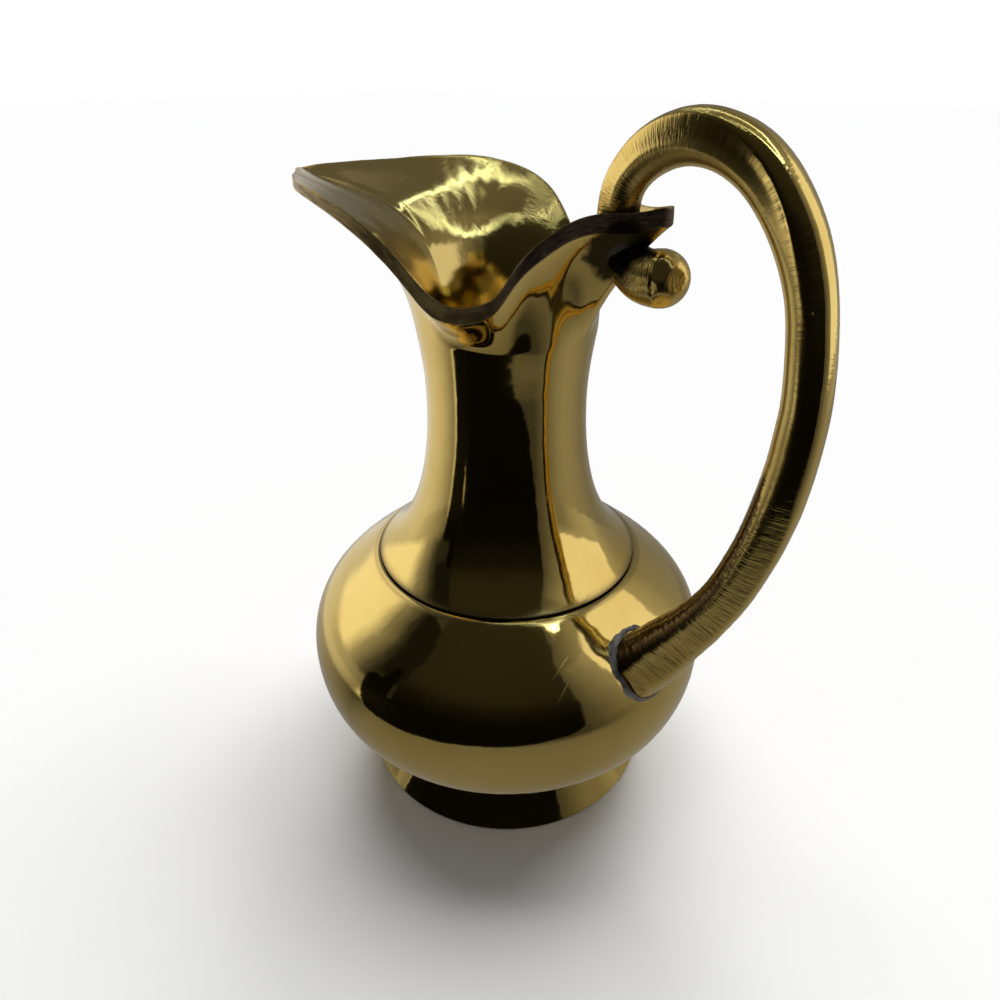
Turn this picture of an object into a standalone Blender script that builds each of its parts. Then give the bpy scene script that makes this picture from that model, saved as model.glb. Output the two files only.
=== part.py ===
# Brass pitcher: a spun bowl on a foot ring, a cast neck that opens into a long spout,
# and a cast rod handle that curls under the rear lip and ends in a ball.
# Metres, +Z up, +X from the spout to the handle, standing on Z = 0.

import math

import bmesh
import bpy
import numpy as np

MM = 0.001

# Fits: the clearance between touching pieces, and a wider one under the round of the bowl
JOINT_GAP = 0.3 * MM
SEAT_GAP = 0.45 * MM
ROUND_STEPS = 64

# Bowl
BELLY_RADIUS = 54.0 * MM
BOWL_TOP_Z = 67.6 * MM
BOWL_WALL = 2.6 * MM
BOWL_FLOOR = 2.8 * MM
# Its outside from the shoulder down to the middle of the floor:
# share of the belly's radius, share of the shoulder's height
BOWL_PROFILE = [
    (0.6463, 1.0), (0.6990, 0.9675), (0.7648, 0.9246), (0.8278, 0.8831), (0.8815, 0.8417),
    (0.9250, 0.8003), (0.9759, 0.7234), (0.9963, 0.6553), (1.0, 0.5917), (0.9889, 0.5118),
    (0.9519, 0.4246), (0.8778, 0.3402), (0.8204, 0.2959), (0.7519, 0.2559), (0.6667, 0.2175),
    (0.5648, 0.1805), (0.4259, 0.1479), (0.2222, 0.1272), (0.0, 0.1213),
]

# Neck
SEAM_GAP = 0.6 * MM
SEAM_STEP = 0.9 * MM
NECK_HEIGHT = 59.2 * MM
NECK_WALL = 2.6 * MM
SPIGOT_SHOULDER = 2.6 * MM
SPIGOT_WALL = 2.6 * MM
SPIGOT_DEPTH = 3.6 * MM
SEAM_SOLDER = 1.5 * MM
# Its outside from the seam up to where the mouth begins:
# share of the radius at the seam, share of the height
NECK_PROFILE = [
    (1.0, 0.0), (0.8853, 0.0608), (0.7956, 0.1267), (0.7324, 0.1926), (0.6853, 0.2584),
    (0.6235, 0.3902), (0.5882, 0.5203), (0.5721, 0.6537), (0.5735, 0.7838), (0.5956, 0.9155),
    (0.6171, 1.0),
]

# Mouth: half of the rim's inner edge in mm, from the tail over the handle to the spout's tip,
# as (along, across, height above the neck)
RIM_EDGE = [
    (38.6, 0.0, 29.4), (38.1, 1.2, 29.5), (36.0, 2.4, 29.1), (31.9, 4.3, 28.4),
    (26.9, 7.5, 28.1), (22.8, 11.3, 26.4), (19.6, 15.0, 23.5), (17.5, 17.4, 20.8),
    (15.3, 19.5, 17.1), (12.6, 21.6, 12.9), (9.5, 23.7, 11.4), (4.0, 26.2, 11.6),
    (-2.2, 28.4, 16.8), (-6.5, 30.0, 21.7), (-10.8, 31.4, 25.3), (-17.2, 32.2, 28.6),
    (-26.0, 31.5, 30.9), (-34.0, 28.4, 31.7), (-40.8, 23.2, 31.6), (-47.4, 17.1, 31.1),
    (-53.9, 11.0, 30.7), (-60.3, 5.6, 30.1), (-65.6, 2.0, 29.3), (-68.6, 0.0, 28.6),
]
# The far side of the dip stands this much further towards the handle, as bent by hand
FAR_RIM_SHIFT = 1.5 * MM
FAR_RIM_MIDDLE = math.radians(98)
FAR_RIM_SPREAD = math.radians(30)
RIM_CHAMFER = 0.4 * MM
# By angle round the axis from the tail, in degrees: the lip's rise above level, the lean of
# its filed edge out of the upright, the edge's height in mm, and how long the neck runs on
LIP = [
    (0, 40, 2, 3.3, 0.16), (30, 50, 12, 3.2, 0.13), (60, 56, 20, 3.1, 0.24),
    (85, 54, 22, 3.5, 0.40), (104, 48, 12, 3.4, 0.46), (118, 46, 4, 2.8, 0.52),
    (130, 42, 0, 2.4, 0.57), (145, 34, 0, 2.3, 0.60), (165, 22, 0, 2.4, 0.56),
    (180, 15, 0, 2.6, 0.52),
]
LIP_PULL = 0.36
MOUTH_STATIONS = 80

# Foot ring: it flares from the bowl's underside down to the table
FOOT_RADIUS = 40.9 * MM
FOOT_WALL = 2.8 * MM
FOOT_EDGE = 0.5 * MM
FOOT_SOLDER = 2.2 * MM
# Its outside from the joint down to its rounded toe: share of the radius, share of the height
FOOT_PROFILE = [(0.812, 1.0), (0.846, 0.78), (0.891, 0.53), (0.943, 0.27), (1.0, 0.0)]

# Handle: the rod's centre line in mm from the ball to its root in the bowl,
# as (along, across, height above the neck, diameter)
HANDLE_LINE = [
    (37.6, 0.0, 16.2, 11.3), (34.4, 0.0, 16.3, 10.8), (31.4, 0.0, 17.6, 9.6),
    (28.9, 0.0, 20.3, 8.6), (27.4, 0.0, 23.8, 8.2), (27.1, 0.0, 27.6, 8.1),
    (28.0, 0.0, 32.3, 8.1), (30.0, 0.0, 35.5, 8.4), (33.3, 0.0, 38.5, 9.0),
    (37.8, 0.0, 40.7, 9.5), (42.7, 0.0, 41.4, 9.9), (47.6, 0.0, 40.5, 9.9),
    (51.8, 0.0, 38.6, 10.0), (57.0, 0.0, 34.2, 9.8), (61.0, 0.0, 28.9, 9.6),
    (63.9, -0.1, 23.6, 9.3), (66.3, -0.6, 17.6, 8.9), (67.9, -1.2, 11.6, 8.8),
    (69.0, -1.8, 5.8, 8.9), (69.8, -2.4, -0.6, 9.0), (70.0, -3.0, -7.4, 9.2),
    (69.8, -3.6, -14.3, 9.4), (69.1, -4.3, -21.4, 9.7), (67.9, -5.0, -28.9, 9.7),
    (65.8, -5.8, -37.3, 9.8), (63.0, -6.6, -45.6, 10.0), (60.4, -7.1, -51.0, 10.4),
    (58.2, -7.5, -54.9, 11.1), (55.1, -7.9, -59.7, 12.2), (52.3, -8.3, -64.0, 13.6),
    (49.5, -8.7, -68.2, 14.6), (47.1, -9.0, -71.5, 15.2), (42.8, -9.2, -77.0, 16.0),
    (38.5, -9.3, -82.5, 16.6),
]
ROD_SIDES = 18
ROD_RINGS = 52
ROD_SQUARENESS = 2.2
ROD_FLATTENING = 0.97

# Solder at the handle's two joints
LIP_SOLDER_WALL = 0.5 * MM
LIP_SOLDER_STAND = 1.0 * MM
ROOT_SOLDER_WALL = 0.9 * MM
ROOT_SOLDER_STAND = 1.6 * MM

# Heights and radii that follow from the above
SHOULDER_RADIUS = BOWL_PROFILE[0][0] * BELLY_RADIUS
NECK_BASE_RADIUS = SHOULDER_RADIUS - SEAM_STEP
SEAM_Z = BOWL_TOP_Z + SEAM_GAP
MOUTH_Z = SEAM_Z + NECK_HEIGHT
SPIGOT_RADIUS = NECK_BASE_RADIUS - SPIGOT_SHOULDER
LIP_HOLE_CLEARANCE = LIP_SOLDER_WALL + 2 * JOINT_GAP


def clear_scene():
    for old in list(bpy.data.objects):
        bpy.data.objects.remove(old, do_unlink=True)


def metal(name, colour, roughness):
    material = bpy.data.materials.new(name)
    material.use_nodes = True
    shader = material.node_tree.nodes["Principled BSDF"]
    shader.inputs["Base Color"].default_value = (*colour, 1.0)
    shader.inputs["Metallic"].default_value = 1.0
    shader.inputs["Roughness"].default_value = roughness
    return material


def smooth_curve(points, count):
    """A natural cubic spline through the points, sampled evenly along its length."""
    points = np.asarray(points, float)
    sides = min(3, points.shape[1])
    steps = np.linalg.norm(np.diff(points[:, :sides], axis=0), axis=1)
    knots = np.concatenate([[0.0], np.cumsum(steps)])
    n = len(points)
    matrix = np.eye(n)
    right = np.zeros_like(points)
    for i in range(1, n - 1):
        before = steps[i - 1]
        after = steps[i]
        matrix[i, i - 1 : i + 2] = before, 2 * (before + after), after
        rise_after = (points[i + 1] - points[i]) / after
        rise_before = (points[i] - points[i - 1]) / before
        right[i] = 6 * (rise_after - rise_before)
    bend = np.linalg.solve(matrix, right)
    curve = []
    for place in np.linspace(0.0, knots[-1], count):
        i = int(np.clip(np.searchsorted(knots, place) - 1, 0, n - 2))
        a = (knots[i + 1] - place) / steps[i]
        b = (place - knots[i]) / steps[i]
        sag = ((a**3 - a) * bend[i] + (b**3 - b) * bend[i + 1]) * steps[i] ** 2 / 6
        curve.append(a * points[i] + b * points[i + 1] + sag)
    return np.array(curve)


def beside(line, distance):
    """A flat line moved to its left as it runs."""
    way = np.gradient(line, axis=0)
    way /= np.linalg.norm(way, axis=1)[:, None]
    return line + distance * np.stack([-way[:, 1], way[:, 0]], axis=1)


def add_piece(name, bm, material, sharp_from):
    bmesh.ops.remove_doubles(bm, verts=bm.verts, dist=1e-7)
    bmesh.ops.recalc_face_normals(bm, faces=bm.faces)
    mesh = bpy.data.meshes.new(name)
    bm.to_mesh(mesh)
    bm.free()
    mesh.shade_smooth()
    mesh.set_sharp_from_angle(angle=math.radians(sharp_from))
    if material:
        mesh.materials.append(material)
    piece = bpy.data.objects.new(name, mesh)
    bpy.context.scene.collection.objects.link(piece)
    piece.parent = body_axis
    return piece


def add_turned(name, section, material, closed=True):
    """The (radius, height) section spun round the bowl's axis."""
    bm = bmesh.new()
    verts = [bm.verts.new((r, 0.0, z)) for r, z in section]
    pairs = list(zip(verts, verts[1:]))
    if closed:
        pairs.append((verts[-1], verts[0]))
    for pair in pairs:
        bm.edges.new(pair)
    bmesh.ops.spin(
        bm,
        geom=bm.verts[:] + bm.edges[:],
        cent=(0.0, 0.0, 0.0),
        axis=(0.0, 0.0, 1.0),
        angle=2 * math.pi,
        steps=ROUND_STEPS,
        use_merge=True,
    )
    return add_piece(name, bm, material, 35.0)


def add_lofted(name, rings, material, capped, sharp_from):
    """Quads between neighbouring rings; the end rings are capped, or joined to each other."""
    bm = bmesh.new()
    rows = [[bm.verts.new(point) for point in ring] for ring in rings]
    pairs = list(zip(rows, rows[1:]))
    if not capped:
        pairs.append((rows[-1], rows[0]))
    for first, second in pairs:
        for i in range(len(first)):
            j = (i + 1) % len(first)
            bm.faces.new((first[i], first[j], second[j], second[i]))
    if capped:
        bm.faces.new(rows[0][::-1])
        bm.faces.new(rows[-1])
    return add_piece(name, bm, material, sharp_from)


def as_cutter(piece):
    piece.hide_render = True
    piece.display_type = "WIRE"
    return piece


def combine(piece, other, operation):
    modifier = piece.modifiers.new(other.name, "BOOLEAN")
    modifier.operation = operation
    modifier.solver = "EXACT"
    modifier.object = other


# Bowl
def bowl_outside(count):
    line = smooth_curve(np.array(BOWL_PROFILE) * [BELLY_RADIUS, BOWL_TOP_Z], count)
    line[-1, 0] = 0.0
    return line


def underside_height(radius):
    line = bowl_outside(160)
    low = line[line[:, 1] < line[line[:, 0].argmax(), 1]][::-1]
    return float(np.interp(radius, low[:, 0], low[:, 1]))


def add_bowl(material):
    outside = bowl_outside(22)
    bore = SPIGOT_RADIUS + JOINT_GAP
    solder_seat = SEAM_SOLDER + JOINT_GAP
    inside = beside(bowl_outside(40), -BOWL_WALL)[3:-4:3]
    below_throat = inside[:, 1] < BOWL_TOP_Z - solder_seat - 0.5 * BOWL_WALL
    past_bore = (inside[:, 0] > bore) | (inside[:, 1] < BOWL_TOP_Z / 2)
    inside = inside[below_throat & past_bore]
    throat = [(bore, BOWL_TOP_Z - solder_seat), (bore + solder_seat, BOWL_TOP_Z)]
    floor = [(0.0, outside[-1, 1] + BOWL_FLOOR)]
    section = floor + list(inside[::-1]) + throat + list(outside)
    return add_turned("bowl", section, material, closed=False)


def add_bowl_skin(name, grow):
    """The bowl's outside, grown, as one solid with no hollow."""
    line = beside(bowl_outside(64), grow)
    line[-1, 0] = 0.0
    return as_cutter(add_turned(name, [(0.0, line[0, 1])] + list(line), None, closed=False))


# Neck and mouth
def lip_at(degrees):
    """The lip's rise and its edge's lean in radians, the edge's height, and the neck's pull."""
    table = np.array(LIP, float).T
    rise, lean, height, pull = [float(np.interp(degrees, table[0], row)) for row in table[1:]]
    return math.radians(rise), math.radians(lean), height * MM, pull


def rim_stations(count):
    """Points all round the rim's inner edge, closer together where it turns."""
    half = np.array(RIM_EDGE) * MM
    off_middle = (np.arctan2(half[:, 1], half[:, 0]) - FAR_RIM_MIDDLE) / FAR_RIM_SPREAD
    far = half.copy()
    far[:, 0] += FAR_RIM_SHIFT * np.exp(-(off_middle**2))
    whole = np.concatenate([far, (half * [1, -1, 1])[-2:0:-1]])
    looped = np.concatenate([whole[-6:], whole, whole[:6]])
    fine = smooth_curve(looped, 1600)
    first = np.linalg.norm(fine - whole[0], axis=1)[:800].argmin()
    last = 800 + np.linalg.norm(fine - whole[0], axis=1)[800:].argmin()
    fine = fine[first:last]
    run = np.linalg.norm(np.diff(fine, axis=0, append=fine[:1]), axis=1)
    angle = np.unwrap(np.arctan2(fine[:, 1], fine[:, 0]))
    turn = np.abs(np.diff(angle, append=angle[0] + 2 * math.pi))
    place = np.concatenate([[0.0], np.cumsum(run / run.sum() + turn / turn.sum())])
    closed = np.concatenate([fine, fine[:1]])
    wanted = np.linspace(0.0, place[-1], count, endpoint=False)
    return np.stack([np.interp(wanted, place, closed[:, k]) for k in range(3)], axis=1)


def flare(start, start_way, pull, end, end_way, count):
    """A cubic Bezier curve from the neck to the lip, without its first point."""
    chord = np.linalg.norm(end - start)
    low = start + start_way * chord * pull
    high = end - end_way * chord * LIP_PULL
    t = np.linspace(0.0, 1.0, count)[1:, None]
    return (
        (1 - t) ** 3 * start
        + 3 * (1 - t) ** 2 * t * low
        + 3 * (1 - t) * t**2 * high
        + t**3 * end
    )


def mouth_section(rim_point, line, grow):
    """The closed (radius, height) section of the neck and the mouth under one rim point."""
    around = abs(math.degrees(math.atan2(rim_point[1], rim_point[0])))
    rise, lean, height, pull = lip_at(around)
    along = np.array([math.cos(rise), math.sin(rise)])
    down = np.array([math.sin(lean), -math.cos(lean)])
    lip = np.array([math.hypot(rim_point[0], rim_point[1]), rim_point[2] + MOUTH_Z])
    inner_lip = lip + (along - down) * grow
    outer_lip = lip + along * grow + down * (height + grow)
    outer = beside(line, -grow)
    inner = beside(line, NECK_WALL + grow)
    up = line[-1] - line[-2]
    up /= np.linalg.norm(up)
    outer_flare = flare(outer[-1], up, pull, outer_lip, along, 9)
    inner_flare = flare(inner[-1], up, pull, inner_lip, along, 9)
    edge = [
        outer_lip - along * RIM_CHAMFER,
        outer_lip - down * RIM_CHAMFER,
        inner_lip + down * RIM_CHAMFER,
        inner_lip - along * RIM_CHAMFER,
    ]
    spigot_bore = SPIGOT_RADIUS - SPIGOT_WALL
    inner = inner[inner[:, 0] < spigot_bore]
    spigot = [
        (spigot_bore, SEAM_Z - SPIGOT_DEPTH),
        (SPIGOT_RADIUS, SEAM_Z - SPIGOT_DEPTH),
        (SPIGOT_RADIUS, SEAM_Z),
    ]
    upward = list(outer) + list(outer_flare[:-1]) + edge[:2]
    return upward + edge[2:] + list(inner_flare[-2::-1]) + list(inner[::-1]) + spigot


def mouth_rings(grow=0.0):
    heights = np.array(NECK_PROFILE) * [NECK_BASE_RADIUS, NECK_HEIGHT] + [0.0, SEAM_Z]
    line = smooth_curve(heights, 11)
    rings = []
    for point in rim_stations(MOUTH_STATIONS):
        around = math.atan2(point[1], point[0])
        section = mouth_section(point, line, grow)
        rings.append([(r * math.cos(around), r * math.sin(around), z) for r, z in section])
    return rings


# Solder in the seam between bowl and neck
def add_shoulder_solder(material):
    inner = SPIGOT_RADIUS + JOINT_GAP
    top = SEAM_Z - JOINT_GAP
    section = [(inner, top), (inner, top - SEAM_SOLDER), (inner + SEAM_SOLDER, top)]
    return add_turned("shoulder_solder", section, material)


# Foot ring and the solder inside it
def foot_lines():
    """The ring's outside and its inside, from the joint down to the toe."""
    joint = FOOT_PROFILE[0][0] * FOOT_RADIUS
    height = underside_height(joint) - SEAT_GAP - FOOT_EDGE
    outside = np.array(FOOT_PROFILE) * [FOOT_RADIUS, height] + [0.0, FOOT_EDGE]
    inside = beside(outside, -FOOT_WALL)
    inside[0, 1] = underside_height(inside[0, 0]) - SEAT_GAP
    inside[-1, 1] = FOOT_EDGE
    return outside, inside


def add_foot(material):
    outside, inside = foot_lines()
    toe = [(inside[-1, 0] + FOOT_EDGE, 0.0), (FOOT_RADIUS - FOOT_EDGE, 0.0)]
    middle = (outside[0, 0] + inside[0, 0]) / 2
    seat = [(middle, underside_height(middle) - SEAT_GAP)]
    section = seat + list(inside) + toe + list(outside[::-1])
    return add_turned("foot_ring", section, material)


def add_foot_solder(material):
    inside = foot_lines()[1]
    joint = inside[0, 0] - JOINT_GAP
    joint_z = underside_height(joint) - SEAT_GAP
    low_z = joint_z - FOOT_SOLDER
    low = np.interp(-low_z, -inside[:, 1], inside[:, 0]) - JOINT_GAP
    inner = joint - FOOT_SOLDER
    section = [(joint, joint_z), (inner, underside_height(inner) - SEAT_GAP), (low, low_z)]
    return add_turned("foot_solder", section, material)


# Handle
def rod_rings(grow=0.0, first=0, last=ROD_RINGS):
    """Slightly squared rings along the rod; ring 0 lies through the middle of the ball."""
    line = smooth_curve(np.array(HANDLE_LINE) * MM, ROD_RINGS)
    line[:, 2] += MOUTH_Z
    way = np.gradient(line[:, :3], axis=0)
    way /= np.linalg.norm(way, axis=1)[:, None]
    normal = np.stack([way[:, 2], 0.0 * way[:, 1], -way[:, 0]], axis=1)
    normal /= np.linalg.norm(normal, axis=1)[:, None]
    aside = np.cross(way, normal)
    turns = np.linspace(0.0, 2 * math.pi, ROD_SIDES, endpoint=False)
    c = np.cos(turns)[:, None]
    s = np.sin(turns)[:, None]
    power = ROD_SQUARENESS
    unit = (np.abs(c) ** power + np.abs(s) ** power) ** (-1 / power)
    rings = []
    for i in range(first, last):
        shape = unit * (c * normal[i] + s * ROD_FLATTENING * aside[i])
        rings.append(line[i, :3] + shape * (line[i, 3] / 2 + grow))
    return rings, line, way, normal, aside


def handle_rings(grow=0.0, last=ROD_RINGS):
    """The rod with the round end of its ball."""
    rings, line, way, normal, aside = rod_rings(grow, 0, last)
    radius = line[0, 3] / 2 + grow
    turns = np.linspace(0.0, 2 * math.pi, ROD_SIDES, endpoint=False)[:, None]
    flat = np.cos(turns) * normal[0] + np.sin(turns) * ROD_FLATTENING * aside[0]
    ball = []
    for lift in np.radians([80, 65, 50, 35, 20, 8]):
        centre = line[0, :3] - way[0] * radius * math.sin(lift)
        ball.append(centre + flat * radius * math.cos(lift))
    return ball + rings


def add_sleeve(name, material, wall, first, last):
    """A tube that lies round the rod from one of its rings to another."""
    inner = rod_rings(JOINT_GAP, first, last)[0]
    outer = rod_rings(JOINT_GAP + wall, first, last)[0]
    return add_lofted(name, outer + inner[::-1], material, False, 60.0)


clear_scene()
body_axis = bpy.data.objects.new("body_axis", None)
bpy.context.scene.collection.objects.link(body_axis)

polished = metal("polished_brass", (0.78, 0.58, 0.24), 0.16)
cast = metal("cast_brass", (0.72, 0.53, 0.22), 0.30)
solder = metal("solder", (0.45, 0.43, 0.42), 0.45)

mouth = mouth_rings()
rod = handle_rings()

bowl = add_bowl(polished)
neck = add_lofted("neck_and_spout", mouth, polished, False, 38.0)
foot = add_foot(polished)
handle = add_lofted("handle", rod, cast, True, 60.0)
shoulder_solder = add_shoulder_solder(solder)
foot_solder = add_foot_solder(solder)

# The root of the rod is shaped to the round of the bowl
combine(handle, add_bowl_skin("root_seat", JOINT_GAP), "DIFFERENCE")

# The rod passes through a hole in the rear lip, with solder round it
lip_hole = as_cutter(
    add_lofted("lip_hole", handle_rings(LIP_HOLE_CLEARANCE, 15), None, True, 60.0)
)
combine(neck, lip_hole, "DIFFERENCE")
lip_solder = add_sleeve("lip_solder", solder, LIP_SOLDER_WALL, 2, 13)
lip_skin = as_cutter(
    add_lofted("lip_skin", mouth_rings(LIP_SOLDER_STAND), None, False, 38.0)
)
combine(lip_solder, lip_skin, "INTERSECT")

# A collar of solder runs round the root on the bowl
root_solder = add_sleeve("root_solder", solder, ROOT_SOLDER_WALL, 40, ROD_RINGS)
combine(root_solder, add_bowl_skin("collar_top", ROOT_SOLDER_STAND), "INTERSECT")
combine(root_solder, add_bowl_skin("collar_seat", JOINT_GAP), "DIFFERENCE")

# The whole stands centred over the origin
reach = np.concatenate([np.concatenate(rod), np.concatenate(mouth)])[:, 0]
body_axis.location = (-(reach.max() + reach.min()) / 2, 0.0, 0.0)
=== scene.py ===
# A small polished brass pitcher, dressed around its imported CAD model.
# Metres, +Z up, +X from the spout to the handle.

import math

import bmesh
import bpy
import numpy as np
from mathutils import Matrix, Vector, noise


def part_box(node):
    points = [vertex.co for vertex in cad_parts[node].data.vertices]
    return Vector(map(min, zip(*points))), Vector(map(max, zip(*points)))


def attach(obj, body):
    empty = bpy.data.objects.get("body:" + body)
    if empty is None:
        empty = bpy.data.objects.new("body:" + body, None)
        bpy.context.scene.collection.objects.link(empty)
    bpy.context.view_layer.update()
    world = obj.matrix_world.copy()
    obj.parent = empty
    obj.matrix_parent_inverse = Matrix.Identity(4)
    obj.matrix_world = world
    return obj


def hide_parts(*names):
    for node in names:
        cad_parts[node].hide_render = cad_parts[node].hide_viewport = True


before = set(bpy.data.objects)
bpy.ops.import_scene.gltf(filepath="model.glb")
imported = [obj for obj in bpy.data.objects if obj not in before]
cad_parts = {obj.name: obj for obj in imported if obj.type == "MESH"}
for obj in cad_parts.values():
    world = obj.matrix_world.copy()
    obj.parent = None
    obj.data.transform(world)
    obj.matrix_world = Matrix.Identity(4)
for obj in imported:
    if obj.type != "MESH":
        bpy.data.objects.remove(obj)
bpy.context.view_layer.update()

MM = 0.001

# Sizes, the same as the solids have
JOINT_GAP = 0.3 * MM
SEAT_GAP = 0.45 * MM
BELLY_RADIUS = 54.0 * MM
BOWL_TOP_Z = 67.6 * MM
BOWL_WALL = 2.6 * MM
# The bowl's outside from the shoulder down to the middle of the floor:
# share of the belly's radius, share of the shoulder's height
BOWL_PROFILE = [
    (0.6463, 1.0), (0.6990, 0.9675), (0.7648, 0.9246), (0.8278, 0.8831), (0.8815, 0.8417),
    (0.9250, 0.8003), (0.9759, 0.7234), (0.9963, 0.6553), (1.0, 0.5917), (0.9889, 0.5118),
    (0.9519, 0.4246), (0.8778, 0.3402), (0.8204, 0.2959), (0.7519, 0.2559), (0.6667, 0.2175),
    (0.5648, 0.1805), (0.4259, 0.1479), (0.2222, 0.1272), (0.0, 0.1213),
]
SEAM_Z = 68.2 * MM
SEAM_STEP = 0.9 * MM
SEAM_SOLDER = 1.5 * MM
NECK_BASE_RADIUS = BOWL_PROFILE[0][0] * BELLY_RADIUS - SEAM_STEP
NECK_HEIGHT = 59.2 * MM
NECK_WALL = 2.6 * MM
SPIGOT_SHOULDER = 2.6 * MM
SPIGOT_RADIUS = NECK_BASE_RADIUS - SPIGOT_SHOULDER
SPIGOT_WALL = 2.6 * MM
SPIGOT_DEPTH = 3.6 * MM
MOUTH_Z = SEAM_Z + NECK_HEIGHT
# The neck's outside from the seam up: share of the radius at the seam, share of the height
NECK_PROFILE = [
    (1.0, 0.0), (0.8853, 0.0608), (0.7956, 0.1267), (0.7324, 0.1926), (0.6853, 0.2584),
    (0.6235, 0.3902), (0.5882, 0.5203), (0.5721, 0.6537), (0.5735, 0.7838), (0.5956, 0.9155),
    (0.6171, 1.0),
]
# Half of the rim's inner edge in mm, from the tail over the handle to the spout's tip:
# along, across, height above the neck
RIM_EDGE = [
    (38.6, 0.0, 29.4), (38.1, 1.2, 29.5), (36.0, 2.4, 29.1), (31.9, 4.3, 28.4),
    (26.9, 7.5, 28.1), (22.8, 11.3, 26.4), (19.6, 15.0, 23.5), (17.5, 17.4, 20.8),
    (15.3, 19.5, 17.1), (12.6, 21.6, 12.9), (9.5, 23.7, 11.4), (4.0, 26.2, 11.6),
    (-2.2, 28.4, 16.8), (-6.5, 30.0, 21.7), (-10.8, 31.4, 25.3), (-17.2, 32.2, 28.6),
    (-26.0, 31.5, 30.9), (-34.0, 28.4, 31.7), (-40.8, 23.2, 31.6), (-47.4, 17.1, 31.1),
    (-53.9, 11.0, 30.7), (-60.3, 5.6, 30.1), (-65.6, 2.0, 29.3), (-68.6, 0.0, 28.6),
]
FAR_RIM_SHIFT = 1.5 * MM
FAR_RIM_MIDDLE = math.radians(98)
FAR_RIM_SPREAD = math.radians(30)
RIM_CHAMFER = 0.4 * MM
# By angle round the axis from the tail, in degrees: the lip's rise above level, the lean of
# its filed edge out of the upright, the edge's height in mm, and how long the neck runs on
LIP = [
    (0, 40, 2, 3.3, 0.16), (30, 50, 12, 3.2, 0.13), (60, 56, 20, 3.1, 0.24),
    (85, 54, 22, 3.5, 0.40), (104, 48, 12, 3.4, 0.46), (118, 46, 4, 2.8, 0.52),
    (130, 42, 0, 2.4, 0.57), (145, 34, 0, 2.3, 0.60), (165, 22, 0, 2.4, 0.56),
    (180, 15, 0, 2.6, 0.52),
]
LIP_PULL = 0.36
FOOT_RADIUS = 40.9 * MM
FOOT_WALL = 2.8 * MM
FOOT_EDGE = 0.5 * MM
# The foot's outside from the joint down to its toe: share of the radius, share of the height
FOOT_PROFILE = [(0.812, 1.0), (0.846, 0.78), (0.891, 0.53), (0.943, 0.27), (1.0, 0.0)]
# The rod's centre line in mm from the ball to its root in the bowl:
# along, across, height above the neck, diameter
HANDLE_LINE = [
    (37.6, 0.0, 16.2, 11.3), (34.4, 0.0, 16.3, 10.8), (31.4, 0.0, 17.6, 9.6),
    (28.9, 0.0, 20.3, 8.6), (27.4, 0.0, 23.8, 8.2), (27.1, 0.0, 27.6, 8.1),
    (28.0, 0.0, 32.3, 8.1), (30.0, 0.0, 35.5, 8.4), (33.3, 0.0, 38.5, 9.0),
    (37.8, 0.0, 40.7, 9.5), (42.7, 0.0, 41.4, 9.9), (47.6, 0.0, 40.5, 9.9),
    (51.8, 0.0, 38.6, 10.0), (57.0, 0.0, 34.2, 9.8), (61.0, 0.0, 28.9, 9.6),
    (63.9, -0.1, 23.6, 9.3), (66.3, -0.6, 17.6, 8.9), (67.9, -1.2, 11.6, 8.8),
    (69.0, -1.8, 5.8, 8.9), (69.8, -2.4, -0.6, 9.0), (70.0, -3.0, -7.4, 9.2),
    (69.8, -3.6, -14.3, 9.4), (69.1, -4.3, -21.4, 9.7), (67.9, -5.0, -28.9, 9.7),
    (65.8, -5.8, -37.3, 9.8), (63.0, -6.6, -45.6, 10.0), (60.4, -7.1, -51.0, 10.4),
    (58.2, -7.5, -54.9, 11.1), (55.1, -7.9, -59.7, 12.2), (52.3, -8.3, -64.0, 13.6),
    (49.5, -8.7, -68.2, 14.6), (47.1, -9.0, -71.5, 15.2), (42.8, -9.2, -77.0, 16.0),
    (38.5, -9.3, -82.5, 16.6),
]
ROD_SQUARENESS = 2.2
ROD_FLATTENING = 0.97
LIP_SOLDER_LOW = 147.6 * MM
LIP_SOLDER_HIGH = 151.0 * MM

# Surface work that only the looks have
FACE_DISH = 0.03 * MM
HAMMER_LUMP = 6.5 * MM
HAMMER_RISE = 0.05 * MM
HAMMER_SINK = 0.03 * MM
FILE_PITCH = 0.85 * MM
# The long flat on the rod's near side: place along it in mm, turn and half width in degrees
SIDE_FLAT = [
    (0, 276, 10), (7, 258, 20), (15, 244, 27), (30, 241, 31), (37, 250, 32), (45, 262, 33),
    (52, 272, 29), (60, 279, 23), (68, 283, 12), (76, 284, 2), (104, 250, 2), (119, 242, 22),
    (134, 246, 28), (149, 254, 31), (164, 258, 31), (180, 262, 16),
]
# The flats on the ball: turn, lift towards the rod and half width in degrees
BALL_FLATS = [(262, 8, 26), (300, -12, 24), (335, 10, 22), (225, -20, 22), (282, -58, 24)]
# The band of painted shade down the rod's inner side: place along it in mm, half width in degrees
SHADE_BAND = [(100, 8), (118, 20), (150, 32), (180, 38)]
SHADE_TURN = 318
SATIN_TURN = 308
SATIN_HALF = 34
# Soot, and painted shade, round the solder under the rear lip, in mm: its middle, its full part and
# its reach
SOOT_SHADE_PLACE = (28.0, 0.0, 149.5)
SOOT_SHADE_CORE = 4.5
SOOT_SHADE_REACH = 10.5

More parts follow.
